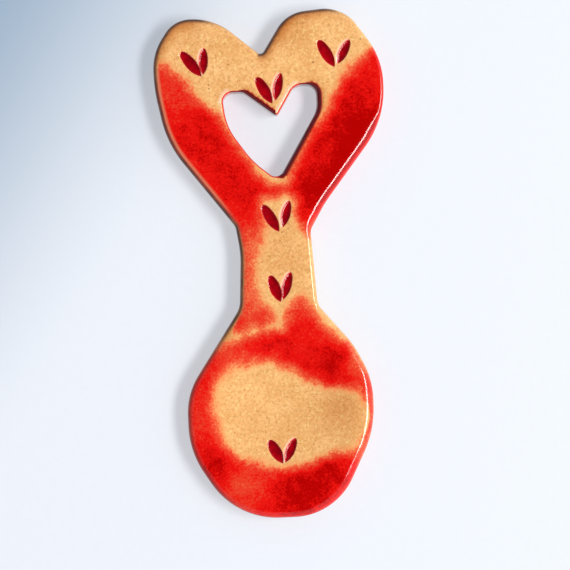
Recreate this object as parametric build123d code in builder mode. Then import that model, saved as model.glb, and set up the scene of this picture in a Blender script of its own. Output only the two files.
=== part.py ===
"""Welsh love spoon, cut from one slab of stoneware clay, stamped with leaf marks, glazed and fired.

It lies on its bare back with the glazed front up (+Z) and the heart end towards +Y.
Sizes are in millimetres and are those of the finished, glazed piece.
"""
import os
from math import cos, radians, sin, sqrt, tan

from build123d import *

os.makedirs("parts", exist_ok=True)

# The three lengths add up to the overall length
heart_height = 41.9
neck_length = 14.2
bowl_length = 40.05
heart_width = 43.5
neck_width = 14.5
bowl_width = 35.35
bowl_set_over = 0.375

thickness = 5.25
glaze_thickness = 0.25
bare_foot_height = 0.8

rim_rounding = 1.2
opening_bevel = 0.5
clay_bevel = 0.6
back_bevel = 0.3
red_setback = 0.3

opening_width = 18.0
opening_height = 18.0
opening_rise = 9.65

bowl_rim_width = 3.5
dish_depth = 1.3
dish_rim_rounding = 12.0
dish_middle_share = 0.5

# Each leaf mark is pressed in by two leaf-shaped stamps that narrow downwards
leaf_length = 5.5
leaf_width = 2.0
leaf_depth = 0.7
leaf_draft = 18
leaf_foot_gap = 0.15
pool_drop = 0.25

overrun = 2.0

heart_half = heart_width / 2
neck_half = neck_width / 2
bowl_half = bowl_width / 2
opening_half = opening_width / 2
neck_end = -neck_length
dish_middle = (-bowl_set_over, neck_end - bowl_length * dish_middle_share)
dish_half = min(bowl_width, bowl_length) / 2 - bowl_rim_width
dish_radius = (dish_half**2 + dish_depth**2) / (2 * dish_depth)
dish_centre = (*dish_middle, thickness - dish_depth + dish_radius)

# Corners of the outline before rounding: across, along, and how much of the shorter side
# beside the corner its rounding takes. Heart and opening shares run up from their lower ends.
notch_shares = [(-0.055, 0.798, 0.11)]
heart_right_shares = [
    (0.18, 0.987, 0.36),
    (0.667, 1.008, 0.40),
    (1.0, 0.763, 0.40),
    (1.0, 0.486, 0.54),
    (0.446, 0.120, 0.25),
]
neck_right_shares = [
    (0.93, 0.0, 0.15),
    (1.035, -1.0, 0.10),
]
bowl_shares = [
    (0.808, 0.192, 0.30),
    (1.0, 0.362, 0.49),
    (1.0, 0.602, 0.50),
    (0.542, 1.0, 0.43),
    (-0.528, 1.0, 0.53),
    (-1.0, 0.669, 0.45),
    (-1.0, 0.395, 0.38),
]
neck_left_shares = [
    (-1.007, -1.0, 0.13),
    (-0.925, -0.27, 0.40),
    (-1.03, 0.09, 0.12),
]
heart_left_shares = [
    (-0.906, 0.418, 0.45),
    (-1.0, 0.669, 0.45),
    (-1.0, 0.829, 0.49),
    (-0.805, 0.978, 0.40),
    (-0.46, 0.978, 0.55),
]
opening_shares = [
    (0.144, 0.675, 0.10),
    (0.539, 1.0, 0.35),
    (0.994, 1.0, 0.49),
    (0.994, 0.728, 0.30),
    (0.111, 0.0, 0.31),
    (-0.4, 0.211, 0.25),
    (-0.911, 0.583, 0.12),
    (-1.006, 0.944, 0.50),
    (-0.556, 0.95, 0.20),
]

# Where the red glaze was brushed on: down both flanks of the heart and on past the neck's left
# edge, and round the bowl, with the middle of the bowl spared
red_heart_shares = [
    (-1.15, 0.78, 0.10),
    (-0.75, 0.74, 0.30),
    (-0.42, 0.48, 0.30),
    (-0.04, 0.18, 0.40),
    (0.13, 0.18, 0.40),
    (0.52, 0.58, 0.30),
    (1.15, 0.92, 0.10),
    (1.15, -0.06, 0.10),
    (0.22, -0.06, 0.10),
    (0.10, 0.15, 0.40),
    (-0.10, 0.13, 0.40),
    (-0.14, -0.325, 0.10),
    (-1.15, -0.325, 0.10),
]
red_bowl_shares = [
    (-1.2, 0.02, 0.10),
    (-0.12, 0.04, 0.30),
    (0.06, 0.09, 0.40),
    (0.29, -0.05, 0.45),
    (0.50, 0.16, 0.35),
    (1.2, 0.30, 0.10),
    (1.2, 1.1, 0.10),
    (-1.2, 1.1, 0.10),
]
spared_bowl_shares = [
    (-0.62, 0.26, 0.45),
    (0.06, 0.235, 0.40),
    (0.45, 0.40, 0.40),
    (1.2, 0.38, 0.10),
    (1.2, 0.64, 0.10),
    (0.30, 0.76, 0.40),
    (-0.50, 0.76, 0.45),
    (-0.78, 0.52, 0.40),
]

# Each mark: where its two leaves meet, across and along, and how far each leaf leans, in degrees
heart_mark_shares = {
    "left_lobe": (-0.580, 0.712, 38, 4),
    "right_lobe": (0.585, 0.732, 29, 29),
    "above_opening": (0.032, 0.578, 29, 13),
    "upper_neck": (0.044, 0.002, 29, 16),
}
neck_mark_shares = {"lower_neck": (0.085, -0.940, 20, 18)}
bowl_mark_shares = {"bowl": (0.003, 0.748, 29, 27)}


def on_heart(across, along):
    return Vector(across * heart_half, along * heart_height)


def on_neck(across, along):
    return Vector(across * neck_half, along * neck_length)


def on_bowl(across, along):
    return Vector(across * bowl_half - bowl_set_over, neck_end - along * bowl_length)


def in_opening(across, along):
    return Vector(across * opening_half, opening_rise + along * opening_height)


def corners(place, shares):
    return [(place(across, along), room) for across, along, room in shares]


def rounding(before, corner, after, room):
    """Radius that takes the given share of the shorter side beside a corner."""
    arriving, leaving = corner - before, after - corner
    shorter = min(arriving.length, leaving.length)
    return room * shorter / tan(radians(arriving.get_angle(leaving)) / 2)


def rounded_face(listed):
    """Face inside the given corners, each rounded by its share."""
    points = [point for point, room in listed]
    neighbours = zip(points[-1:] + points[:-1], listed, points[1:] + points[:1])
    radii = [rounding(before, here, after, room) for before, (here, room), after in neighbours]
    with BuildSketch() as face:
        with BuildLine():
            FilletPolyline(*points, radius=radii, close=True)
        make_face()
    return face.sketch


outline = rounded_face(
    corners(on_heart, notch_shares)
    + corners(on_heart, heart_right_shares)
    + corners(on_neck, neck_right_shares)
    + corners(on_bowl, bowl_shares)
    + corners(on_neck, neck_left_shares)
    + corners(on_heart, heart_left_shares)
)
opening = rounded_face(corners(in_opening, opening_shares))


def front_of(form):
    return form.faces().sort_by(Axis.Z)[-1]


def round_rim(form, radius):
    """Take the rim off the front in two bevels, each a chord of an arc of the given radius."""
    half_turn = radians(22.5)
    first = radius * tan(half_turn)
    front = front_of(form)
    chamfer(front.outer_wire().edges(), first, radius, reference=front)
    front = front_of(form)
    down = radius * (1 - cos(2 * half_turn)) / cos(half_turn)
    chamfer(front.outer_wire().edges(), radius - first, down, reference=front)


def spoon(skin):
    """The spoon's whole form, with the given thickness of glaze taken off it."""
    with BuildPart() as form:
        with BuildSketch():
            add(outline)
            if skin:
                offset(amount=-skin)
        extrude(amount=thickness - skin)
        if skin:
            chamfer(front_of(form).edges(), clay_bevel)
        else:
            round_rim(form, rim_rounding)

        with BuildSketch():
            add(opening)
            if skin:
                offset(amount=skin)
        extrude(amount=thickness, mode=Mode.SUBTRACT)
        if not skin:
            chamfer(front_of(form).inner_wires()[0].edges(), opening_bevel)

        with Locations(dish_centre):
            Sphere(dish_radius + skin, rotation=(90, 0, 0), mode=Mode.SUBTRACT)
        if not skin:
            dish_rim = form.faces().filter_by(GeomType.SPHERE)[0].outer_wire().edges()
            fillet(dish_rim, dish_rim_rounding)
    return form


def surface_frame(point):
    """A point of the glazed front, with the direction that the front faces there."""
    from_middle = point - Vector(*dish_middle)
    if from_middle.length >= dish_half:
        return Vector(point.X, point.Y, thickness), Vector(0, 0, 1)
    height = dish_centre[2] - sqrt(dish_radius**2 - from_middle.length**2)
    at = Vector(point.X, point.Y, height)
    return at, (Vector(*dish_centre) - at).normalized()


def leaf(foot, lean):
    """The stamp of one leaf, just off the foot of its mark, and the plane of the front over it."""
    heading = Vector(sin(radians(lean)), cos(radians(lean)))
    at, facing = surface_frame(foot + heading * (leaf_foot_gap + leaf_length / 2))
    along = (heading - facing * heading.dot(facing)).normalized()
    front_plane = Plane(at, along, facing)
    foot_end, outer_end = (-leaf_length / 2, 0), (leaf_length / 2, 0)
    with BuildPart() as stamp:
        with BuildSketch(front_plane) as edge:
            with BuildLine():
                SagittaArc(foot_end, outer_end, leaf_width / 2)
                SagittaArc(outer_end, foot_end, leaf_width / 2)
            make_face()
        extrude(amount=-leaf_depth, taper=leaf_draft)
        extrude(edge.sketch, amount=overrun)
    return stamp.part, front_plane


mark_tables = [
    (on_heart, heart_mark_shares),
    (on_neck, neck_mark_shares),
    (on_bowl, bowl_mark_shares),
]
marks = {}
for place, table in mark_tables:
    for name, (across, along, left_lean, right_lean) in table.items():
        foot = place(across, along)
        marks[name] = [leaf(foot, -left_lean), leaf(foot, right_lean)]
stamps = [stamp for pair in marks.values() for stamp, front_plane in pair]

# The fired clay, bare on its back and lowest band
clay_body = spoon(glaze_thickness)
with clay_body:
    back = clay_body.faces().sort_by(Axis.Z)[0]
    chamfer(back.outer_wire().edges(), back_bevel)

# All of the glaze, from the bare band up over the front
glazed = spoon(0)
with BuildPart() as coat:
    add(glazed.part)
    with BuildSketch():
        add(outline)
        offset(amount=overrun)
    extrude(amount=bare_foot_height, mode=Mode.SUBTRACT)
    add(clay_body.part, mode=Mode.SUBTRACT)

# The leaf marks go through the glaze into the clay
for form in (clay_body, coat):
    with form:
        add(stamps, mode=Mode.SUBTRACT)


def coat_over(area):
    """The part of the coat over an area of the front."""
    with BuildPart() as piece:
        add(area)
        extrude(amount=thickness + overrun)
        add(coat.part, mode=Mode.INTERSECT)
    return piece


# The red glaze keeps a little inside the rims, where the clear glaze goes over them
with BuildSketch() as inside_rims:
    with BuildSketch(mode=Mode.PRIVATE) as pierced:
        add(opening)
        offset(amount=opening_bevel + red_setback)
    add(outline)
    offset(amount=-rim_rounding - red_setback)
    add(pierced.sketch, mode=Mode.SUBTRACT)
with BuildSketch() as red_heart:
    add(rounded_face(corners(on_heart, red_heart_shares)))
    add(inside_rims.sketch, mode=Mode.INTERSECT)
with BuildSketch() as red_bowl:
    add(rounded_face(corners(on_bowl, red_bowl_shares)))
    add(rounded_face(corners(on_bowl, spared_bowl_shares)), mode=Mode.SUBTRACT)
    add(inside_rims.sketch, mode=Mode.INTERSECT)
with BuildSketch() as clear:
    add(outline)
    offset(amount=overrun)
    add(red_heart.sketch, mode=Mode.SUBTRACT)
    add(red_bowl.sketch, mode=Mode.SUBTRACT)
pieces = {
    "clay_body": clay_body,
    "clear_glaze": coat_over(clear.sketch),
    "red_glaze_heart": coat_over(red_heart.sketch),
    "red_glaze_bowl": coat_over(red_bowl.sketch),
}

# Glaze that pooled dark in the bottom of each leaf mark
for name, pair in marks.items():
    with BuildPart() as pool:
        for stamp, front_plane in pair:
            with BuildPart(mode=Mode.PRIVATE) as lower:
                add(stamp)
                split(bisect_by=front_plane.offset(-pool_drop), keep=Keep.BOTTOM)
            add(lower.part)
    pieces["leaf_inlay_" + name] = pool

# The origin goes to the middle of the back
box = glazed.part.bounding_box()
to_middle = Location((-box.center().X, -box.center().Y, 0))
for name, piece in pieces.items():
    moved = piece.part.moved(to_middle)
    moved.label = name
    export_step(moved, "parts/" + name + ".step")
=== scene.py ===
"""Looks of the love spoon: the glaze coat with its brushed red, the leaf marks and the bare clay.

Shapes are worked out in millimetres in the CAD frame, with the back at z = 0 and the heart
towards +Y, and turned into metres when a mesh is made.
"""

from math import atan2, ceil, cos, pi, radians, sin, tan

import bmesh
import bpy
import numpy as np
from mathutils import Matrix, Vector
from mathutils.geometry import delaunay_2d_cdt


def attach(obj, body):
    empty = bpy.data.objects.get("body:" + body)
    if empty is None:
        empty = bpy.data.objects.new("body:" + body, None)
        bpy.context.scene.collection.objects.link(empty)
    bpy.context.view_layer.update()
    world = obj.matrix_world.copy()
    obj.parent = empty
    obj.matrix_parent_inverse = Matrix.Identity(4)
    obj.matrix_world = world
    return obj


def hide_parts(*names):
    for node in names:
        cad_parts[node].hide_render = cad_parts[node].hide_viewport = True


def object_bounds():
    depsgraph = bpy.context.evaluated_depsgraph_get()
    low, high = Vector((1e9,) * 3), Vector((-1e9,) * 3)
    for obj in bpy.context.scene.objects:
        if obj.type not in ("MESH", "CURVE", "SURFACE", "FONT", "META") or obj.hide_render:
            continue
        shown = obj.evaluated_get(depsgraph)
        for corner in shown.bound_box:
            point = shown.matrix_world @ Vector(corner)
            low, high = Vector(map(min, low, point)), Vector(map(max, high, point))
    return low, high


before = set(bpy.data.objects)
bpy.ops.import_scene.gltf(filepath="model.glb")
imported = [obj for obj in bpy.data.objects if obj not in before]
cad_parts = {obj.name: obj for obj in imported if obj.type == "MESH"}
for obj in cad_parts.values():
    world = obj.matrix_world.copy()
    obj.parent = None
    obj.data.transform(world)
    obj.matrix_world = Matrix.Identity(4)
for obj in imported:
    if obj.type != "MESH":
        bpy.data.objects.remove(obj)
cad_low, cad_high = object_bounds()
MM = 0.001

# Driving sizes, in mm
heart_height = 41.9
neck_length = 14.2
bowl_length = 40.05
heart_half = 21.75
neck_half = 7.25
bowl_half = 17.675
bowl_set_over = 0.375
thickness = 5.25
foot_height = 0.8
opening_half = 9.0
opening_height = 18.0
opening_rise = 9.65
dish_half = 14.175
dish_depth = 1.3
dish_rim_blend = 0.2

glaze_skin = 0.2
clay_clearance = 0.03
rim_width = 1.4
rim_drop = 1.2
opening_rim_width = 0.55
opening_rim_drop = 0.6
opening_slant_width = 0.5
opening_slant_drop = 1.3
opening_slant_start = 0.62
back_rounding = 0.35
back_arc_share = 0.3
foot_step_share = 0.7
slab_top = 3.0
hand_wave = 0.05
inside_box = 0.002
outline_step = 0.45
front_step = 0.5
most_turn = radians(7)
cdt_slack = 1e-6
rows_at_once = 2000

# Corners of the outline: across, along, and how much of the shorter side beside it is rounded
notch_shares = [(-0.055, 0.798, 0.11)]
heart_right_shares = [
    (0.18, 0.987, 0.36),
    (0.667, 1.008, 0.40),
    (1.0, 0.763, 0.40),
    (1.0, 0.486, 0.54),
    (0.446, 0.120, 0.25),
]
neck_right_shares = [
    (0.93, 0.0, 0.15),
    (1.035, -1.0, 0.10),
]
bowl_shares = [
    (0.808, 0.192, 0.30),
    (1.0, 0.362, 0.49),
    (1.0, 0.602, 0.50),
    (0.542, 1.0, 0.43),
    (-0.528, 1.0, 0.53),
    (-1.0, 0.669, 0.45),
    (-1.0, 0.395, 0.38),
]
neck_left_shares = [
    (-1.007, -1.0, 0.13),
    (-0.925, -0.27, 0.40),
    (-1.03, 0.09, 0.12),
]
heart_left_shares = [
    (-0.906, 0.418, 0.45),
    (-1.0, 0.669, 0.45),
    (-1.0, 0.829, 0.49),
    (-0.805, 0.978, 0.40),
    (-0.46, 0.978, 0.55),
]
opening_shares = [
    (0.144, 0.675, 0.10),
    (0.539, 1.0, 0.35),
    (0.994, 1.0, 0.49),
    (0.994, 0.728, 0.30),
    (0.111, 0.0, 0.31),
    (-0.4, 0.211, 0.42),
    (-0.911, 0.583, 0.42),
    (-1.006, 0.944, 0.50),
    (-0.556, 0.95, 0.20),
]

# Each leaf mark: the outer end and the foot of its left leaf, then of its right leaf, in mm
leaf_ends = {
    "left_lobe": [((-16.35, 40.9), (-12.65, 36.15)), ((-12.15, 41.5), (-12.55, 36.25))],
    "right_lobe": [((9.75, 42.0), (12.6, 36.85)), ((15.45, 42.0), (12.95, 37.3))],
    "above_opening": [((-2.25, 35.5), (0.5, 30.45)), ((2.15, 36.2), (0.85, 30.8))],
    "upper_neck": [((-2.15, 11.3), (0.75, 6.15)), ((2.75, 12.0), (1.25, 6.8))],
    "lower_neck": [((-1.35, -2.1), (0.5, -7.15)), ((2.45, -1.5), (0.7, -6.9))],
    "bowl": [((-2.85, -33.3), (-0.4, -37.75)), ((2.05, -33.0), (-0.25, -37.7))],
}
leaf_half_width = 1.08
outer_end_fullness = 0.45
foot_end_fullness = 0.85

# A leaf's side wall: gentle on the left of each right-hand leaf, steep elsewhere
steep_wall = 0.05
gentle_wall = 0.60
wall_edge_drop = 0.02
wall_foot_drop = 0.145
beyond_wall = (0.10, 0.25, 0.50)
beyond_wall_drop = (0.30, 0.40, 0.46)
edge_softness = 0.15
pool_edge_drop = 0.155
pool_middle_drop = 0.25

# Spacing of the points in and round the leaves and their pools
leaf_rows = 32
leaf_end_overrun = 1.05
leaf_point_gap = 0.06
wall_foot_step = 0.05
least_across = 0.02
leaf_clearance = 0.1
pool_rows = 30
pool_columns = 13
pool_length_share = 0.985
pool_least_half = 0.02
pool_full_half = 0.4
pool_under_clay = 0.04
pool_least_depth = 0.02

# Borders of the brushed red, in mm in the CAD frame. Where they leave the outline they only close.
red_heart_border = [
    (-25, 40.2), (-21.3, 39.1), (-18.4, 38.1), (-15.6, 35.3), (-12.8, 31.4), (-9.7, 28.4),
    (-7.7, 25.1), (-6.0, 22.9), (-4.0, 20.1), (-2.7, 17.6), (-0.7, 15.7), (1.9, 15.2),
    (3.1, 17.1), (4.4, 19.7), (7.0, 24.5), (9.6, 27.4), (11.8, 30.7), (12.7, 32.9),
    (14.9, 36.1), (17.7, 38.3), (19.9, 40.6), (25, 43), (26, 25), (14, 8), (8.8, 3.4),
    (5.9, 4.6), (4.4, 7.0), (3.9, 9.5), (3.8, 11.7), (2.1, 13.5), (0.2, 12.4), (-2.1, 11.9),
    (-2.0, 9.0), (-1.7, 7.2), (-2.2, 4.4), (-3.3, 1.5), (-3.7, -0.8), (-3.4, -4.0),
    (-2.8, -6.5), (-1.1, -8.4), (-0.8, -10.4), (-2.4, -11.7), (-4.6, -12.2), (-9, -12.4),
    (-9, 2), (-12, 8), (-26, 24),
]
red_bowl_border = [
    (-14.5, -15.5), (-9.5, -14.0), (-5.0, -12.9), (-1.5, -12.2), (0.3, -12.0), (1.2, -10.2),
    (2.0, -8.2), (4.3, -6.3), (6.2, -7.6), (7.4, -9.6), (9.3, -12.3), (12.6, -14.7),
    (15.4, -17.6), (17.5, -19.0), (21, -20.5), (21, -35), (20, -52), (-22, -52), (-22, -18),
]
spared_bowl_border = [
    (-12.5, -22.5), (-10.2, -20.0), (-6.0, -18.9), (-1.0, -18.6), (2.3, -20.9), (7.3, -23.4),
    (12.5, -24.2), (14.6, -25.0), (16.2, -27.2), (20, -29.0), (20, -31.5), (15.4, -32.8),
    (13.4, -35.6), (9.3, -36.2), (4.4, -37.9), (-0.1, -38.6), (-4.9, -37.8), (-9.0, -35.8),
    (-11.5, -33.4), (-12.6, -28.5), (-12.8, -24.8),
]

# Where the red lies thicker (above 0) or thinner: across, along, reach, amount
red_thickness = [
    (17.0, 24.0, 7.0, 0.38),
    (12.0, 14.0, 5.5, 0.34),
    (6.0, 12.5, 4.0, 0.15),
    (-13.0, 25.0, 5.5, 0.14),
    (-6.5, 15.0, 5.0, 0.12),
    (-18.5, 33.0, 5.0, -0.15),
    (-5.0, 4.0, 4.0, -0.35),
    (-5.0, -5.0, 6.0, -0.45),
    (6.3, 6.0, 2.6, -0.30),
    (4.6, -9.0, 3.2, -0.10),
    (-1.8, -14.5, 3.6, 0.15),
    (10.8, -18.5, 3.8, 0.28),
    (11.4, -12.8, 3.2, -0.30),
    (15.6, -18.2, 2.8, -0.30),
    (-9.5, -17.0, 4.5, -0.25),
    (14.8, -20.5, 3.0, -0.35),
    (-16.0, -29.0, 4.5, -0.14),
    (-13.0, -38.5, 4.0, 0.25),
    (-8.0, -41.5, 4.5, -0.30),
    (2.5, -44.0, 5.5, 0.28),
    (9.0, -40.0, 4.5, 0.18),
    (14.0, -36.0, 3.0, -0.20),
]

# Golden-brown patches, most of them painted shade: across, along, reach, amount
golden_shade_patches = [
    (11.8, -28.0, 5.0, 0.55),
    (7.8, 29.5, 2.6, 0.6),
    (-15.0, 44.0, 3.0, 0.3),
    (5.5, 43.0, 3.0, 0.3),
    (3.0, 46.0, 3.0, 0.3),
    (-1.0, -31.5, 4.0, 0.15),
    (1.5, 1.0, 5.0, 0.28),
]

# Larger iron spots: across, along, radius
iron_spots = [
    (8.6, 37.9, 0.17), (-7.6, 44.3, 0.16), (-11.3, 34.4, 0.14), (-11.3, 33.7, 0.15),
    (-7.5, 38.1, 0.14), (-9.0, 37.6, 0.13), (-10.2, 32.5, 0.12), (17.7, 41.9, 0.16),
    (1.3, 6.0, 0.15), (2.1, 5.6, 0.10), (0.9, 4.4, 0.12), (-2.7, 0.5, 0.15), (2.4, -12.6, 0.10),
    (5.7, -22.9, 0.13), (2.8, -24.1, 0.11), (-4.0, -23.5, 0.14), (-1.8, -22.5, 0.11),
]
away_from_window = np.array((-0.88, 0.47))
lit_lip_facing = np.array((0.82, -0.57))

# Bands along the edges: the gaps from the edge, in mm, at which each starts and is full
bare_rim_band = (1.1, 0.4)
red_side_band = (1.1, 0.6)
brown_band = (0.95, 0.32)
thin_line = (0.25, 0.05)
golden_band = (3.0, 0.3)
pale_outer_band, pale_inner_band = (1.3, 0.85), (0.45, 0.75)
opening_golden_band = (2.4, 0.5)
opening_red_start, opening_red_full = 0.36, 0.12
slant_red_start, slant_red_full = 0.84, 0.73
lit_lip_outer_band, lit_lip_inner_band = (0.95, 0.55), (0.25, 0.45)
lit_wall_outer_band, lit_wall_inner_band = (-0.02, 0.04), (0.48, 0.25)

# Places along the spoon, in mm, where a change starts and is full
bowl_start = (-11, -15)
red_side_start = (-18, -21)
pale_rim_top, pale_rim_bottom = (40, 36), (8, 14)
narrow_rim_start = (24, 29)
neck_middle = -1
from_neck_middle = (9, 6)

# How far an edge faces a direction, as a cosine, where a change starts and is full
faces_right = (0.3, 0.8)
faces_window = (0.6, 0.95)
faces_lip_light = (0.62, 0.88)
bare_facing = (0.1, 0.5)
brown_facing = (-0.02, 0.35)
golden_facing = (0.0, 0.6)
shaded_facing = (0.1, 0.5)

# How far the rim has turned down, from 0 to 1, where its wall starts
wall_start = (0.86, 1)

# How strong each band is
bare_rim_depth = 4
bare_bowl_rim_depth = 2
red_side_reach = 1.2
farthest_reach = 5
bowl_brown_loss = 0.45
wall_brown_loss = 0.4
brown_line_share = 0.5
golden_rim_share = 0.9
golden_opening_share = 0.7
tip_shade = 0.4
lit_wall_red = 0.17
upper_rim_loss = 0.5
lit_rim_gain = 0.3
neck_rim_loss = 0.6


def on_heart(across, along):
    return np.array((across * heart_half, along * heart_height))


def on_neck(across, along):
    return np.array((across * neck_half, along * neck_length))


def on_bowl(across, along):
    return np.array((across * bowl_half - bowl_set_over, -neck_length - along * bowl_length))


def in_opening(across, along):
    return np.array((across * opening_half, opening_rise + along * opening_height))


def corners(place, shares):
    return [(place(across, along), room) for across, along, room in shares]


def eased(value, low, high):
    """0 at low, 1 at high, and smooth between."""
    share = np.clip((value - low) / (high - low), 0, 1)
    return share * share * (3 - 2 * share)


def travel_loop(listed, step):
    """Points along a closed line with rounded corners, and the heading at each."""
    arcs = []
    for i, (corner, room) in enumerate(listed):
        arriving = corner - listed[i - 1][0]
        leaving = listed[(i + 1) % len(listed)][0] - corner
        arrive, leave = np.linalg.norm(arriving), np.linalg.norm(leaving)
        heading = atan2(arriving[1], arriving[0])
        turn = (atan2(leaving[1], leaving[0]) - heading + pi) % (2 * pi) - pi
        setback = room * min(arrive, leave)
        radius = setback / tan(turn / 2)
        start = corner - arriving / arrive * setback
        centre = start + radius * np.array((-sin(heading), cos(heading)))
        count = max(3, ceil(abs(turn * radius) / step), ceil(abs(turn) / most_turn))
        headings = heading + turn * np.linspace(0, 1, count + 1)
        side = np.stack((-np.sin(headings), np.cos(headings)), 1)
        arcs.append((centre - radius * side, headings))
    points, headings = [], []
    for i, (arc, turned) in enumerate(arcs):
        end, start = arc[-1], arcs[(i + 1) % len(arcs)][0][0]
        count = ceil(np.linalg.norm(start - end) / step)
        between = [end + (start - end) * k / count for k in range(1, count)]
        points += [*arc, *between]
        headings += [*turned, *[turned[-1]] * len(between)]
    return np.array(points), np.array(headings)


outline, outline_heading = travel_loop(
    corners(on_heart, notch_shares)
    + corners(on_heart, heart_right_shares)
    + corners(on_neck, neck_right_shares)
    + corners(on_bowl, bowl_shares)
    + corners(on_neck, neck_left_shares)
    + corners(on_heart, heart_left_shares),
    outline_step,
)
opening, opening_heading = travel_loop(corners(in_opening, opening_shares), outline_step)

# The CAD frame has its origin in the middle of the outline
to_middle = -(outline.min(0) + outline.max(0)) / 2
outline += to_middle
opening += to_middle
dish_middle = np.array((-bowl_set_over, -neck_length - bowl_length / 2)) + to_middle
dish_radius = (dish_half**2 + dish_depth**2) / (2 * dish_depth)

# Both loops run clockwise: out of the clay is left of the outline and right of the opening
outline_out = np.stack((-np.sin(outline_heading), np.cos(outline_heading)), 1)
opening_out = -np.stack((-np.sin(opening_heading), np.cos(opening_heading)), 1)
outline -= outline_out * inside_box

# The opening was cut at a slant, so that its right-hand wall leans inwards
slant = (-opening_out[:, :1] - opening_slant_start) / (1 - opening_slant_start)
slant = np.clip(slant, 0, 1)

# The rim is fullest where it faces the window, and narrow beside the neck and high on the heart
rim_to_right = eased(outline_out[:, 0], *faces_right)
rim_to_window = eased(outline_out @ -away_from_window, *faces_window)
beside_neck = eased(np.abs(outline[:, 1] - neck_middle), *from_neck_middle)
fullness = 1 - upper_rim_loss * eased(outline[:, 1], *narrow_rim_start) * rim_to_right
fullness += lit_rim_gain * rim_to_window * eased(outline[:, 1], *narrow_rim_start[::-1])
fullness -= neck_rim_loss * beside_neck * rim_to_right
outline_rim = (rim_width * fullness[:, None], rim_drop * fullness)
opening_rim = (
    opening_rim_width + opening_slant_width * slant,
    (opening_rim_drop + opening_slant_drop * slant)[:, 0],
)


def front_height(x, y):
    """Height of the finished front, without its marks."""
    reach = np.hypot(x - dish_middle[0], y - dish_middle[1])
    bottom = dish_radius - np.sqrt(np.maximum(dish_radius**2 - reach**2, 0)) - dish_depth
    blend = np.clip(1 - np.abs(bottom) / dish_rim_blend, 0, 1)
    dish = np.minimum(bottom, 0) - blend**2 * dish_rim_blend / 4
    wave = 0.5 + 0.25 * (np.sin(x / 4.1 + y / 7.6) + np.sin(y / 3.7 - x / 9.5 + 1.3))
    return thickness + dish - hand_wave * wave


def leaf_wall_drop(inset, wall):
    """How far the front has sunk at a distance in from a leaf's edge."""
    insets = (-edge_softness, 0, wall, *(wall + more for more in beyond_wall))
    return np.interp(inset, insets, (0, wall_edge_drop, wall_foot_drop, *beyond_wall_drop))


class Leaf:
    """One stamped leaf, from its outer end and its foot."""

    def __init__(self, outer_end, foot, left_wall):
        outer_end, foot = np.array(outer_end), np.array(foot)
        self.middle = (outer_end + foot) / 2
        self.half = np.linalg.norm(outer_end - foot) / 2
        self.heading = (outer_end - foot) / (2 * self.half)
        self.left = np.array((-self.heading[1], self.heading[0]))
        self.walls = (left_wall, steep_wall)

    def half_width(self, along):
        fullness = np.where(along > 0, outer_end_fullness, foot_end_fullness)
        return leaf_half_width * np.maximum(1 - (along / self.half) ** 2, 0) ** fullness

    def insets(self, points):
        """Distances in from the left and the right edge."""
        away = points - self.middle
        along, leftward = away @ self.heading, away @ self.left
        beyond = np.maximum(np.abs(along) - self.half, 0)
        half = self.half_width(along) - beyond
        return half - leftward, half + leftward

    def drop(self, points):
        sides = zip(self.insets(points), self.walls)
        return np.min([leaf_wall_drop(inset, wall) for inset, wall in sides], axis=0)

    def place(self, along, leftward):
        return self.middle + np.outer(along, self.heading) + np.outer(leftward, self.left)


marks = {
    name: [Leaf(*left_ends, steep_wall), Leaf(*right_ends, gentle_wall)]
    for name, (left_ends, right_ends) in leaf_ends.items()
}
leaves = [leaf for pair in marks.values() for leaf in pair]


def mark_drop(points):
    """How far the leaf marks have sunk the front at each point."""
    return np.max([leaf.drop(points) for leaf in leaves], axis=0)


def mark_inset(points):
    """How far in from the nearest leaf's edge, and less than zero outside the leaves."""
    return np.max([np.min(leaf.insets(points), axis=0) for leaf in leaves], axis=0)


def inside(points, loop):
    """Which points lie inside a closed loop."""
    found = np.zeros(len(points), bool)
    x, y = points[:, 0], points[:, 1]
    for (ax, ay), (bx, by) in zip(loop, np.roll(loop, -1, axis=0)):
        if ay != by:
            crosses = (ay > y) != (by > y)
            found ^= crosses & (x < (bx - ax) * (y - ay) / (by - ay) + ax)
    return found


def nearest(points, loop):
    """Distance to the nearest point of a loop, and which one it is."""
    distance, which = np.empty(len(points)), np.empty(len(points), int)
    for start in range(0, len(points), rows_at_once):
        rows = slice(start, start + rows_at_once)
        gaps = np.linalg.norm(points[rows, None] - loop[None], axis=2)
        which[rows] = gaps.argmin(1)
        distance[rows] = gaps.min(1)
    return distance, which


def thinned(points, gap):
    """The points, less those that crowd one already kept."""
    kept, taken = [], set()
    for point in points:
        cell = (round(point[0] / gap), round(point[1] / gap))
        if cell not in taken:
            taken.add(cell)
            kept.append(point)
    return np.array(kept)


def closed_edges(*lengths):
    """Edges of closed loops of these lengths, with the points numbered loop after loop."""
    edges, start = [], 0
    for length in lengths:
        edges += [(start + i, start + (i + 1) % length) for i in range(length)]
        start += length
    return edges


def ring_faces(rings):
    """Four-sided faces between each ring of point numbers and the next."""
    faces = []
    for above, below in zip(rings, rings[1:]):
        for i in range(len(above)):
            j = (i + 1) % len(above)
            faces.append((above[i], above[j], below[j], below[i]))
    return faces


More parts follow.
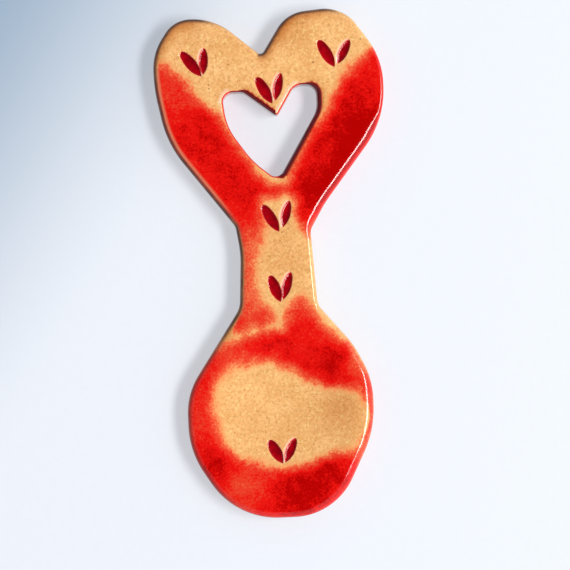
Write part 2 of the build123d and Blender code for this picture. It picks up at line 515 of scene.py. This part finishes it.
# The front inside its rims: rows of points, closer together round the leaf marks
outline_inner = outline - outline_out * outline_rim[0]
opening_inner = opening - opening_out * opening_rim[0]
leaf_points = []
for leaf in leaves:
    for along in leaf.half * leaf_end_overrun * np.cos(np.linspace(0, pi, leaf_rows)):
        edge = float(leaf.half_width(np.array(along)))
        for side, wall in zip((1, -1), leaf.walls):
            steps = [-edge_softness, -edge_softness / 2, 0]
            steps += [wall * share for share in (0.15, 0.5, 0.85, 1)]
            steps += [wall + more for more in (wall_foot_step, *beyond_wall)]
            across = [side * (edge - inset) for inset in steps if edge - inset > least_across]
            leaf_points.extend(leaf.place(np.full(len(across) + 1, along), [*across, 0]))
leaf_points = thinned(leaf_points, leaf_point_gap)
row_gap = front_step * cos(radians(30))
rows = np.arange(cad_low.y / MM, cad_high.y / MM, row_gap)
columns = np.arange(cad_low.x / MM, cad_high.x / MM, front_step)
grid = np.array([(x + front_step / 2 * (i % 2), y) for i, y in enumerate(rows) for x in columns])
grid = grid[inside(grid, outline_inner) & ~inside(grid, opening_inner)]
grid = grid[mark_inset(grid) < -edge_softness - leaf_clearance]
grid = grid[nearest(grid, outline_inner)[0] > front_step / 2]
grid = grid[nearest(grid, opening_inner)[0] > front_step / 2]

outer_count, opening_count = len(outline_inner), len(opening_inner)
front = np.concatenate((outline_inner, opening_inner, leaf_points, grid))
borders = closed_edges(outer_count, opening_count)
found = delaunay_2d_cdt([Vector(p) for p in front], borders, [], 1, cdt_slack)
front = np.array([tuple(p) for p in found[0]])
order = {source: i for i, sources in enumerate(found[3]) for source in sources}
outline_ids = [order[i] for i in range(outer_count)]
opening_ids = [order[outer_count + i] for i in range(opening_count)]
triangles = np.array(found[2])
middles = front[triangles].mean(1)
triangles = triangles[~inside(middles, opening_inner) & inside(middles, outline_inner)]

# Rows down a rim and its wall: shares of the rim's width, the skin, the height above the foot,
# the rim's drop and the skin again, below the front
turns = [radians(a) for a in (78, 66, 54, 42, 30, 20, 10, 0)]
outer_rows = [(1 - cos(t), 0, 1, 1 - sin(t), 0) for t in turns]
outer_rows += [(0, 0, h, h, 0) for h in (0.75, 0.5, 0.25, 0.06)]
outer_rows += [(0, 0.15, 0.02, 0.02, 0), (0, 0.6, 0, 0, 0)]
inner_rows = [(0, 1, 0, 0, 0), (0, 1, 0.5, 0.5, 0)]
inner_rows += [(1 - cos(t), cos(t), 1, 1 - sin(t), sin(t)) for t in turns[::-2]]
rim_rows = outer_rows + inner_rows
rim_turns = [1 - t / (pi / 2) for t in turns] + [1] * (len(rim_rows) - len(turns))

front_drop = mark_drop(front)
top = front_height(*front.T) - front_drop
coat_points = [np.column_stack((front, top)), np.column_stack((front, top - glaze_skin))]
coat_faces = [tuple(t) for t in triangles] + [tuple(t[::-1] + len(front)) for t in triangles]
outline_turn = [np.zeros(2 * len(front))]
count = 2 * len(front)
for loop, out, ids, (width, drop), turning in (
    (outline, outline_out, outline_ids, outline_rim, 1),
    (opening, opening_out, opening_ids, opening_rim, 0),
):
    rings = [ids]
    for (across, skin, share, sunk, under), turn in zip(rim_rows, rim_turns):
        ring = loop - out * (across * width + skin * glaze_skin)
        height = foot_height + share * (front_height(*ring.T) - foot_height)
        coat_points.append(np.column_stack((ring, height - sunk * drop - under * glaze_skin)))
        rings.append(list(range(count, count + len(ring))))
        outline_turn.append(np.full(len(ring), turning * turn))
        count += len(ring)
    rings.append([i + len(front) for i in ids])
    coat_faces += ring_faces(rings)
coat_points = np.concatenate(coat_points)
outline_turn = np.concatenate(outline_turn)


def make_mesh(name, points, faces, values=()):
    """Closed, smooth mesh from points in mm, with named numbers kept at its points."""
    mesh = bpy.data.meshes.new(name)
    mesh.from_pydata((np.asarray(points) * MM).tolist(), [], [tuple(map(int, f)) for f in faces])
    for label, numbers in dict(values).items():
        mesh.attributes.new(label, "FLOAT", "POINT").data.foreach_set("value", numbers)
    work = bmesh.new()
    work.from_mesh(mesh)
    bmesh.ops.recalc_face_normals(work, faces=work.faces)
    work.to_mesh(mesh)
    work.free()
    mesh.shade_smooth()
    piece = bpy.data.objects.new(name, mesh)
    bpy.context.scene.collection.objects.link(piece)
    return piece


def curved(border, parts=6):
    """Closed curve through the points of a border."""
    p = np.array(border, float)
    before, after, beyond = np.roll(p, 1, 0), np.roll(p, -1, 0), np.roll(p, -2, 0)
    t = np.linspace(0, 1, parts, endpoint=False)[:, None, None]
    curve = (
        2 * p + (after - before) * t
        + (2 * before - 5 * p + 4 * after - beyond) * t**2
        + (3 * p - before - 3 * after + beyond) * t**3
    ) / 2
    return curve.transpose(1, 0, 2).reshape(-1, 2)


def reach_into(points, border):
    """Distance of each point inside a border, and less than zero outside it."""
    loop = curved(border)
    distance = nearest(points, loop)[0]
    return np.where(inside(points, loop), distance, -distance)


def blobs(table):
    """Sum of soft round patches: across, along, reach, amount."""
    x, y = coat_points[:, 0], coat_points[:, 1]
    return sum(a * np.exp(-((x - px) ** 2 + (y - py) ** 2) / r**2) for px, py, r, a in table)


# Where each colour lies on the coat
flat = coat_points[:, :2]
edge_gap, edge_at = nearest(flat, outline)
opening_gap, opening_at = nearest(flat, opening)
facing_away = np.clip(outline_out[edge_at] @ away_from_window, 0, 1)
facing_right = eased(outline_out[edge_at, 0], *faces_right)
on_bowl_part = eased(flat[:, 1], *bowl_start)

red_reach = np.maximum(reach_into(flat, red_heart_border), reach_into(flat, red_bowl_border))
red_reach = np.minimum(red_reach, -reach_into(flat, spared_bowl_border))
red_reach = np.clip(red_reach, -farthest_reach, farthest_reach)
left_rim = eased(facing_away, *bare_facing)
red_reach -= bare_rim_depth * eased(edge_gap, *bare_rim_band) * left_rim * (1 - on_bowl_part)
red_reach -= bare_bowl_rim_depth * eased(edge_gap, *thin_line) * left_rim * on_bowl_part
bowl_side = eased(flat[:, 1], *red_side_start) * facing_right * eased(edge_gap, *red_side_band)
red_reach = red_reach + bowl_side * np.maximum(red_side_reach - red_reach, 0)

# Painted shade, partly glaze breaking brown: a brown band and thin dark line along the rims
brown_glaze_and_shade = eased(edge_gap, *brown_band) * eased(facing_away, *brown_facing)
brown_glaze_and_shade *= 1 - bowl_brown_loss * on_bowl_part
brown_line = eased(edge_gap, *thin_line) * brown_line_share * (1 - facing_right)
brown_glaze_and_shade = np.maximum(brown_glaze_and_shade, brown_line)
brown_glaze_and_shade *= 1 - wall_brown_loss * eased(outline_turn, *wall_start)
# Golden-brown painted shade on the rims that face away from the window
golden_rim_shade = golden_rim_share * eased(edge_gap, *golden_band) * eased(facing_away, *golden_facing)
golden_shade = blobs(golden_shade_patches) + golden_rim_shade
pale_rim = eased(edge_gap, *pale_outer_band) * eased(edge_gap, *pale_inner_band) * left_rim
pale_rim *= eased(flat[:, 1], *pale_rim_top) * eased(flat[:, 1], *pale_rim_bottom)

# Red ran over the edge of the opening. Dark maroon painted shade lies on it where the wall leans
# inwards and on the left side of the tip, and golden-brown painted shade beside the leaning wall
to_left = np.clip(-opening_out[opening_at, 0], 0, 1)
opening_red = eased(
    opening_gap,
    opening_red_start + slant_red_start * to_left,
    opening_red_full + slant_red_full * to_left,
)
tip_left = (opening_out[opening_at, 1] < -0.3) & (opening_out[opening_at, 0] < 0.2)
opening_shade = opening_red * eased(to_left + tip_shade * tip_left, *shaded_facing)
golden_shade += golden_opening_share * eased(opening_gap, *opening_golden_band) * to_left

# Painted highlight on the lip of the opening and the gentle walls of the marks that face the
# window, where the glaze also breaks pale
lit_lip = eased(opening_out[opening_at] @ lit_lip_facing, *faces_lip_light)
thin_glaze_and_highlight = eased(opening_gap, *lit_lip_outer_band) * eased(opening_gap, *lit_lip_inner_band)
thin_glaze_and_highlight *= lit_lip
for leaf in leaves:
    left_inset, right_inset = leaf.insets(flat)
    lit = eased(np.minimum(left_inset, right_inset), *lit_wall_outer_band)
    lit *= eased(left_inset, *lit_wall_inner_band)
    if leaf.walls[0] == gentle_wall:
        thin_glaze_and_highlight = np.maximum(thin_glaze_and_highlight, lit)

deep = mark_drop(flat)
in_mark = lit_wall_red * eased(deep, 0, wall_edge_drop)
in_mark += (1 - lit_wall_red) * eased(deep, wall_foot_drop / 2, wall_foot_drop)
coat = make_mesh("glaze_coat", coat_points, coat_faces, {
    "red_reach": red_reach,
    "red_thicker": blobs(red_thickness),
    "brown_glaze_and_shade": brown_glaze_and_shade,
    "golden_shade": golden_shade,
    "pale_rim": pale_rim,
    "opening_red": opening_red,
    "opening_shade": opening_shade,
    "mark_red": in_mark,
    "thin_glaze_and_highlight": thin_glaze_and_highlight,
    "outline_turn": outline_turn,
})

# The bare clay slab that carries the coat, seen on the foot and the back
slab_rows = [
    (glaze_skin + clay_clearance, slab_top), (glaze_skin + clay_clearance, foot_height),
    (glaze_skin, foot_height * foot_step_share), (glaze_skin, back_rounding),
    (glaze_skin + back_rounding * back_arc_share, back_rounding * back_arc_share),
    (glaze_skin + back_rounding, 0),
]
slab_points, slab_faces, slab_ends, count = [], [], [], 0
for loop, out in ((outline, outline_out), (opening, opening_out)):
    rings = []
    for inset, height in slab_rows:
        ring = loop - out * inset
        slab_points.append(np.column_stack((ring, np.full(len(ring), height))))
        rings.append(list(range(count, count + len(ring))))
        count += len(ring)
    slab_faces += ring_faces(rings)
    slab_ends.append((rings[0], rings[-1]))
slab_points = np.concatenate(slab_points)
for end in (0, 1):
    ids = [i for loop in slab_ends for i in loop[end]]
    edges = closed_edges(*(len(loop[end]) for loop in slab_ends))
    found = delaunay_2d_cdt([Vector(slab_points[i, :2]) for i in ids], edges, [], 1, cdt_slack)
    source = [sources[0] for sources in found[3]]
    corners_found = np.array([[ids[source[k]] for k in triangle] for triangle in found[2]])
    middles = slab_points[corners_found, :2].mean(1)
    outer_loop, inner_loop = (slab_points[loop[end], :2] for loop in slab_ends)
    kept = inside(middles, outer_loop) & ~inside(middles, inner_loop)
    slab_faces += [tuple(triangle) for triangle in corners_found[kept]]
slab = make_mesh("clay_slab", slab_points, slab_faces)


def pool(leaf):
    """Closed body of the dark glaze in a leaf's hollow, and how far right each point lies."""
    along = leaf.half * pool_length_share * np.cos(np.linspace(0, pi, pool_rows))
    shares = np.sin(np.linspace(-pi / 2, pi / 2, pool_columns))
    half = leaf.half_width(along)
    left = np.maximum(half - leaf.walls[0], pool_least_half)
    right = np.maximum(half - leaf.walls[1], pool_least_half)
    middle, reach = (left - right) / 2, (left + right) / 2
    u = np.repeat(along, len(shares))
    share = np.tile(shares, len(along))
    places = leaf.place(u, np.repeat(middle, len(shares)) + np.repeat(reach, len(shares)) * share)
    level = front_height(*places.T)
    fullness = np.minimum(np.repeat(reach, len(shares)) / pool_full_half, 1)
    sag = (pool_middle_drop - pool_edge_drop) * np.sqrt(1 - share**2) * fullness
    top = level - pool_edge_drop - sag
    under_clay = level - mark_drop(places) - pool_under_clay
    bottom = np.minimum(under_clay, top - pool_least_depth)
    size, wide = len(places), len(shares)
    points = [*np.column_stack((places, top)), *np.column_stack((places, bottom))]
    faces = []
    for i in range(len(along) - 1):
        for j in range(wide - 1):
            a = i * wide + j
            quad = (a, a + 1, a + wide + 1, a + wide)
            faces += [quad, tuple(size + k for k in quad[::-1])]
    rim = [i * wide for i in range(len(along))]
    rim += [(len(along) - 1) * wide + j for j in range(1, wide)]
    rim += [i * wide + wide - 1 for i in range(len(along) - 2, -1, -1)]
    rim += [j for j in range(wide - 2, 0, -1)]
    for a, b in zip(rim, rim[1:] + rim[:1]):
        faces.append((a, b, b + size, a + size))
    return points, faces, [*-share, *-share]


pools = []
for name, pair in marks.items():
    points, faces, to_right = [], [], []
    for leaf in pair:
        more_points, more_faces, more_to_right = pool(leaf)
        faces += [tuple(len(points) + i for i in face) for face in more_faces]
        points += more_points
        to_right += more_to_right
    filled = make_mesh("leaf_fill_" + name, points, faces, {"to_right": to_right})
    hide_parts("leaf_inlay_" + name)
    pools.append(filled)

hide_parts("clear_glaze", "red_glaze_heart", "red_glaze_bowl")
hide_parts("clay_body")
for piece in [coat, slab, *pools]:
    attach(piece, "root")


class Nodes:
    """Short names for making a material's nodes."""

    def __init__(self, name):
        self.material = bpy.data.materials.new(name)
        self.material.use_nodes = True
        self.tree = self.material.node_tree
        self.shader = self.tree.nodes["Principled BSDF"]
        self.place = self.add("ShaderNodeTexCoord").outputs["Object"]

    def add(self, kind, **settings):
        node = self.tree.nodes.new(kind)
        for label, value in settings.items():
            setattr(node, label, value)
        return node

    def put(self, value, socket):
        if isinstance(value, bpy.types.NodeSocket):
            self.tree.links.new(value, socket)
        else:
            socket.default_value = value

    def math(self, operation, a, b, clamp=False):
        node = self.add("ShaderNodeMath", operation=operation, use_clamp=clamp)
        self.put(a, node.inputs[0])
        self.put(b, node.inputs[1])
        return node.outputs[0]

    def times(self, a, b, clamp=False):
        return self.math("MULTIPLY", a, b, clamp)

    def plus(self, a, b):
        return self.math("ADD", a, b)

    def number(self, label):
        return self.add("ShaderNodeAttribute", attribute_name=label).outputs["Fac"]

    def shifted(self, across, along):
        at = self.add("ShaderNodeVectorMath", operation="ADD")
        self.put(self.place, at.inputs[0])
        self.put((across, along, 0), at.inputs[1])
        return at.outputs[0]

    def noise(self, size, detail=2.0, rough=0.5, shift=0.0):
        """Noise from about 0 to 1 with patches of the given size in mm."""
        at = self.shifted(shift, shift)
        node = self.add("ShaderNodeTexNoise")
        self.put(at, node.inputs["Vector"])
        self.put(1 / (size * MM), node.inputs["Scale"])
        self.put(detail, node.inputs["Detail"])
        self.put(rough, node.inputs["Roughness"])
        return node.outputs["Fac"]

    def specks(self, size, share, soft, shift=0.0):
        """Small spots: 1 in the middle of a spot. Share of the cells that have one."""
        at = self.shifted(shift, -shift)
        node = self.add("ShaderNodeTexVoronoi")
        self.put(at, node.inputs["Vector"])
        self.put(1 / (size * MM), node.inputs["Scale"])
        pick = self.add("ShaderNodeSeparateColor")
        self.put(node.outputs["Color"], pick.inputs[0])
        has = self.math("LESS_THAN", pick.outputs[0], share)
        reach = self.times(pick.outputs[1], soft)
        near = self.ranged(node.outputs["Distance"], self.plus(reach, soft * 0.6), 0.0)
        return self.times(near, has)

    def ranged(self, value, low, high, to_low=0.0, to_high=1.0):
        node = self.add("ShaderNodeMapRange", interpolation_type="SMOOTHSTEP")
        for item, socket in zip((value, low, high, to_low, to_high), node.inputs):
            self.put(item, socket)
        return node.outputs[0]

    def ramp(self, value, stops):
        node = self.add("ShaderNodeValToRGB")
        ramp = node.color_ramp
        ramp.interpolation = "EASE"
        while len(ramp.elements) < len(stops):
            ramp.elements.new(1)
        for element, (position, colour) in zip(ramp.elements, stops):
            element.position = position
            element.color = (*colour, 1)
        self.put(value, node.inputs[0])
        return node.outputs[0]

    def mixed(self, amount, a, b, blend="MIX"):
        node = self.add("ShaderNodeMix", data_type="RGBA", blend_type=blend)
        self.put(amount, node.inputs[0])
        self.put(a if isinstance(a, bpy.types.NodeSocket) else (*a, 1), node.inputs[6])
        self.put(b if isinstance(b, bpy.types.NodeSocket) else (*b, 1), node.inputs[7])
        return node.outputs[2]

    def bumped(self, height, distance):
        node = self.add("ShaderNodeBump")
        self.put(height, node.inputs["Height"])
        self.put(distance * MM, node.inputs["Distance"])
        self.put(1.0, node.inputs["Strength"])
        self.put(node.outputs[0], self.shader.inputs["Normal"])


# Colours, as linear red, green and blue
glazed_clay = ((0.98, 0.55, 0.225), (0.77, 0.36, 0.11), (0.50, 0.14, 0.0))
bare_clay = ((0.66, 0.45, 0.27), (0.50, 0.31, 0.165), (0.22, 0.10, 0.04))
# Tint of the golden-brown painted shade
golden_shade_tint = (0.60, 0.29, 0.07)
iron_brown = (0.15, 0.03, 0.0)
red_stops = [
    (0.0, (0.88, 0.45, 0.17)),
    (0.20, (0.90, 0.31, 0.11)),
    (0.38, (0.86, 0.145, 0.055)),
    (0.56, (0.80, 0.045, 0.020)),
    (0.76, (0.80, 0.006, 0.004)),
    (1.0, (0.45, 0.0, 0.0)),
]
pale_glaze = (0.90, 0.43, 0.22)
# Pale of the painted highlight, partly thin glaze
pale_highlight_tint = (1.0, 0.64, 0.47)
# Brown of the painted shade on the rims, partly glaze breaking brown
edge_brown_and_shade = (0.085, 0.024, 0.010)
# Painted shade on the red of the opening's leaning wall
opening_shade_maroon = (0.115, 0.002, 0.006)
pool_red, pool_deep_red = (0.46, 0.001, 0.006), (0.26, 0.0, 0.004)
# Painted shade on the right side of each pool
pool_shaded_red = (0.15, 0.0, 0.003)
pool_glint = (0.60, 0.03, 0.04)
paper, paper_in_shade = (0.55, 0.575, 0.62), (0.19, 0.265, 0.355)
paper_fibre = (0.40, 0.42, 0.46)
paper_base_share = (0.73, 0.73, 0.73)

# How far the red's border wanders and frays, and over what reach it fades in, in mm
red_wander = 2.2
red_fray = 0.85
red_fade = (-2.1, 2.5)

# How thick the red lies, how much that changes from place to place, and at which thickness the
# clay starts to go under it and is covered
brushed_red = 0.76
red_mottle = 0.62
red_clouds = 0.36
red_over_rim = 0.62
opening_red_share = 0.75
red_covers = (0.0, 0.34)

# How strongly each colour is laid over the one under it
clay_patches, clay_grain, clay_pores, clay_glints = 0.45, 0.72, 0.42, 0.60
fine_specks, strong_specks = 0.65, 0.75
golden_shade_share = 0.75
iron_spot_share = 0.8
pale_rim_share = 0.6
thin_glaze_and_highlight_share = 0.75
pool_glint_share = 0.35


def speckled_clay(nodes, light, dark, speck_colour):
    """Buff clay colour with soft patches, grain and fine iron specks."""
    patches = nodes.ranged(nodes.noise(5, 3), 0.35, 0.68)
    colour = nodes.mixed(nodes.times(patches, clay_patches), light, dark)
    grain = nodes.ranged(nodes.noise(0.6, 3, 0.65, 0.3), 0.40, 0.66)
    colour = nodes.mixed(nodes.times(grain, clay_grain), colour, dark)
    pores = nodes.ranged(nodes.noise(0.42, 2, 0.5, 0.8), 0.55, 0.70)
    darker = tuple(c * 0.60 for c in dark)
    colour = nodes.mixed(nodes.times(pores, clay_pores), colour, darker)
    glints = nodes.ranged(nodes.noise(0.5, 2, 0.5, 1.3), 0.55, 0.70)
    lighter = tuple(min(c * 1.3, 1) for c in light)
    colour = nodes.mixed(nodes.times(glints, clay_glints), colour, lighter)
    fine = nodes.specks(0.9, 0.75, 0.20)
    colour = nodes.mixed(nodes.times(fine, fine_specks), colour, speck_colour)
    strong = nodes.specks(2.4, 0.75, 0.075, 0.05)
    darker_speck = tuple(c * 0.5 for c in speck_colour)
    return nodes.mixed(nodes.times(strong, strong_specks), colour, darker_speck)


def coat_material():
    nodes = Nodes("glaze_over_clay")
    tan_colour = speckled_clay(nodes, *glazed_clay)
    # Golden-brown painted shade
    golden_amount = nodes.times(nodes.number("golden_shade"), golden_shade_share, True)
    tan_colour = nodes.mixed(golden_amount, tan_colour, golden_shade_tint, "MULTIPLY")
    for x, y, size in iron_spots:
        gap = nodes.add("ShaderNodeVectorMath", operation="DISTANCE")
        nodes.put(nodes.place, gap.inputs[0])
        nodes.put((x * MM, y * MM, thickness * MM), gap.inputs[1])
        near = nodes.ranged(gap.outputs["Value"], size * 1.25 * MM, size * 0.45 * MM)
        tan_colour = nodes.mixed(nodes.times(near, iron_spot_share), tan_colour, iron_brown)

    # The red's edge wanders and frays a little
    wander = nodes.times(nodes.math("SUBTRACT", nodes.noise(3.0, 2), 0.5), red_wander)
    fray = nodes.times(nodes.math("SUBTRACT", nodes.noise(0.5, 3, 0.6, 0.2), 0.5), red_fray)
    reach = nodes.plus(nodes.plus(nodes.number("red_reach"), wander), fray)
    red = nodes.ranged(reach, *red_fade, 0.0, brushed_red)
    red = nodes.times(red, nodes.plus(nodes.number("red_thicker"), 1.0))
    mottle = nodes.math("SUBTRACT", nodes.noise(0.38, 3, 0.6, 0.7), 0.5)
    cloud = nodes.math("SUBTRACT", nodes.noise(2.4, 2, 0.5, 0.4), 0.5)
    shade = nodes.plus(nodes.times(mottle, red_mottle), nodes.times(cloud, red_clouds))
    shade = nodes.times(shade, nodes.ranged(red, 0.05, 0.35))
    red = nodes.plus(red, shade)
    over_rim = nodes.ranged(nodes.number("outline_turn"), 0.35, 0.9, 1.0, red_over_rim)
    red = nodes.times(red, over_rim)

    # Red also ran into the marks and over the edge of the opening
    over_edge = nodes.times(nodes.number("opening_red"), opening_red_share)
    red = nodes.math("MAXIMUM", red, over_edge)
    red = nodes.math("MAXIMUM", red, nodes.number("mark_red"), True)
    hue = nodes.ramp(red, red_stops)
    colour = nodes.mixed(nodes.ranged(red, *red_covers), tan_colour, hue)
    pale = nodes.times(nodes.number("pale_rim"), pale_rim_share)
    colour = nodes.mixed(pale, colour, pale_glaze)
    # Painted highlight, partly glaze breaking pale, on edges that face the window
    lit = nodes.times(nodes.number("thin_glaze_and_highlight"), thin_glaze_and_highlight_share)
    colour = nodes.mixed(lit, colour, pale_highlight_tint)
    # Brown edge: painted shade on rims away from the window, partly glaze breaking brown
    uneven = nodes.ranged(nodes.noise(2.5, 2, 0.5, 0.9), 0.2, 0.7, 0.75, 1.0)
    brown = nodes.times(nodes.number("brown_glaze_and_shade"), uneven)
    colour = nodes.mixed(brown, colour, edge_brown_and_shade)
    # Painted shade, dark maroon, on the opening's leaning wall and the tip's left side
    colour = nodes.mixed(nodes.number("opening_shade"), colour, opening_shade_maroon)
    nodes.put(colour, nodes.shader.inputs["Base Color"])
    roughness = nodes.ranged(nodes.noise(1.8, 2, 0.5, 0.6), 0.3, 0.7, 0.06, 0.13)
    nodes.put(roughness, nodes.shader.inputs["Roughness"])
    nodes.shader.inputs["IOR"].default_value = 1.5
    dimples = nodes.times(nodes.noise(0.45, 2, 0.5, 0.5), 0.25)
    nodes.bumped(nodes.plus(nodes.noise(1.6, 2, 0.5, 0.1), dimples), 0.025)
    return nodes.material


def pool_material():
    nodes = Nodes("pooled_dark_red")
    depth = nodes.ranged(nodes.noise(1.1, 3, 0.6), 0.3, 0.7)
    colour = nodes.mixed(depth, pool_red, pool_deep_red)
    # Painted shade: each pool darker towards its right side
    to_right = nodes.ranged(nodes.number("to_right"), -0.5, 1.0, 0.0, 0.7)
    colour = nodes.mixed(to_right, colour, pool_shaded_red)
    glints = nodes.ranged(nodes.noise(0.3, 2, 0.6, 0.4), 0.62, 0.78)
    colour = nodes.mixed(nodes.times(glints, pool_glint_share), colour, pool_glint)
    nodes.put(colour, nodes.shader.inputs["Base Color"])
    nodes.shader.inputs["Roughness"].default_value = 0.08
    nodes.shader.inputs["IOR"].default_value = 1.55
    nodes.bumped(nodes.noise(0.7, 2), 0.02)
    return nodes.material


def bare_clay_material():
    nodes = Nodes("bare_speckled_clay")
    colour = speckled_clay(nodes, *bare_clay)
    nodes.put(colour, nodes.shader.inputs["Base Color"])
    roughness = nodes.ranged(nodes.noise(1.2, 3), 0.3, 0.7, 0.72, 0.9)
    nodes.put(roughness, nodes.shader.inputs["Roughness"])
    nodes.shader.inputs["Specular IOR Level"].default_value = 0.3
    waves = nodes.times(nodes.noise(4, 3, 0.5, 0.2), 1.5)
    nodes.bumped(nodes.plus(nodes.noise(0.3, 4, 0.65), waves), 0.05)
    return nodes.material


coat.data.materials.append(coat_material())
inlay = pool_material()
for piece in pools:
    piece.data.materials.append(inlay)
slab.data.materials.append(bare_clay_material())


# Painted shade on the floor, darker away from the window, over these distances in mm, and a
# glow of the floor, painted light that lightens its shadows
floor_shade_direction = (-0.80, 0.60, 0)
floor_shade_start, floor_shade_full = 20, 85
floor_glow = 0.81


def floor_material():
    nodes = Nodes("pale_paper")
    toward_shade = nodes.add("ShaderNodeVectorMath", operation="DOT_PRODUCT")
    nodes.put(nodes.place, toward_shade.inputs[0])
    nodes.put(floor_shade_direction, toward_shade.inputs[1])
    away = toward_shade.outputs["Value"]
    shade = nodes.ranged(away, floor_shade_start * MM, floor_shade_full * MM)
    fibre = nodes.ranged(nodes.noise(1.5, 4, 0.6), 0.3, 0.7, 0.0, 0.04)
    colour = nodes.mixed(shade, paper, paper_in_shade)
    colour = nodes.mixed(fibre, colour, paper_fibre)
    base = nodes.mixed(1.0, colour, paper_base_share, "MULTIPLY")
    nodes.put(base, nodes.shader.inputs["Base Color"])
    nodes.put(colour, nodes.shader.inputs["Emission Color"])
    nodes.shader.inputs["Emission Strength"].default_value = floor_glow
    nodes.shader.inputs["Roughness"].default_value = 0.7
    nodes.shader.inputs["Specular IOR Level"].default_value = 0.2
    return nodes.material


floor_half = 3.0
floor_mesh = bpy.data.meshes.new("floor")
floor_sides = ((-1, -1), (1, -1), (1, 1), (-1, 1))
floor_corners = [(x * floor_half, y * floor_half, 0) for x, y in floor_sides]
floor_mesh.from_pydata(floor_corners, [], [(0, 1, 2, 3)])
floor = bpy.data.objects.new("floor", floor_mesh)
bpy.context.scene.collection.objects.link(floor)
floor_mesh.materials.append(floor_material())


# Soft fill from all round, dim overhead where the photographer stood and on the side away from
# the window
sky_tint = (0.93, 0.96, 1.0)
overhead_start, overhead_full = radians(36), radians(17)
overhead_level = 0.03
far_side_level, window_side_level = 0.37, 0.92
world = bpy.data.worlds.new("studio")
bpy.context.scene.world = world
world.use_nodes = True
tree = world.node_tree
sky = tree.nodes.new("ShaderNodeTexCoord").outputs["Generated"]


def sky_range(direction, low, high, to_low, to_high):
    """Number that changes with how far the sky lies in a direction."""
    along = tree.nodes.new("ShaderNodeVectorMath")
    along.operation = "DOT_PRODUCT"
    tree.links.new(sky, along.inputs[0])
    along.inputs[1].default_value = direction
    node = tree.nodes.new("ShaderNodeMapRange")
    node.interpolation_type = "SMOOTHSTEP"
    tree.links.new(along.outputs["Value"], node.inputs[0])
    for socket, value in zip(list(node.inputs)[1:5], (low, high, to_low, to_high)):
        socket.default_value = value
    return node.outputs[0]


overhead = sky_range((0, 0, 1), cos(overhead_start), cos(overhead_full), 1.0, overhead_level)
to_window = (*-away_from_window, 0)
window_side = sky_range(to_window, -1.0, 1.0, far_side_level, window_side_level)
strength = tree.nodes.new("ShaderNodeMath")
strength.operation = "MULTIPLY"
tree.links.new(overhead, strength.inputs[0])
tree.links.new(window_side, strength.inputs[1])
background = tree.nodes["Background"]
background.inputs["Color"].default_value = (*sky_tint, 1)
tree.links.new(strength.outputs[0], background.inputs["Strength"])

window_azimuth = radians(-10)
window_from_vertical = radians(34)
window_distance = 0.9
window_data = bpy.data.lights.new("window", "AREA")
window_data.shape = "RECTANGLE"
window_data.size = 0.475
window_data.size_y = 0.20
window_data.energy = 6.3
window_data.color = (1.0, 0.98, 0.95)
window = bpy.data.objects.new("window", window_data)
toward = Vector((
    sin(window_from_vertical) * cos(window_azimuth),
    sin(window_from_vertical) * sin(window_azimuth),
    cos(window_from_vertical),
))
window.location = toward * window_distance
window.rotation_euler = toward.to_track_quat("Z", "Y").to_euler()
bpy.context.scene.collection.objects.link(window)

# Straight above, turned so that the spoon leans as in the photograph
camera_distance = 0.40
sensor_width = 36
spoon_lean = radians(-2.5)
view_width = 107.84 * MM
view_middle = (1.454 * MM, -4.002 * MM)
camera_data = bpy.data.cameras.new("camera")
camera_data.sensor_width = sensor_width
camera_data.lens = sensor_width * camera_distance / view_width
camera = bpy.data.objects.new("camera", camera_data)
camera.location = (*view_middle, thickness * MM + camera_distance)
camera.rotation_euler = (0, 0, spoon_lean)
bpy.context.scene.collection.objects.link(camera)
bpy.context.scene.camera = camera
bpy.context.scene.view_settings.view_transform = "Standard"
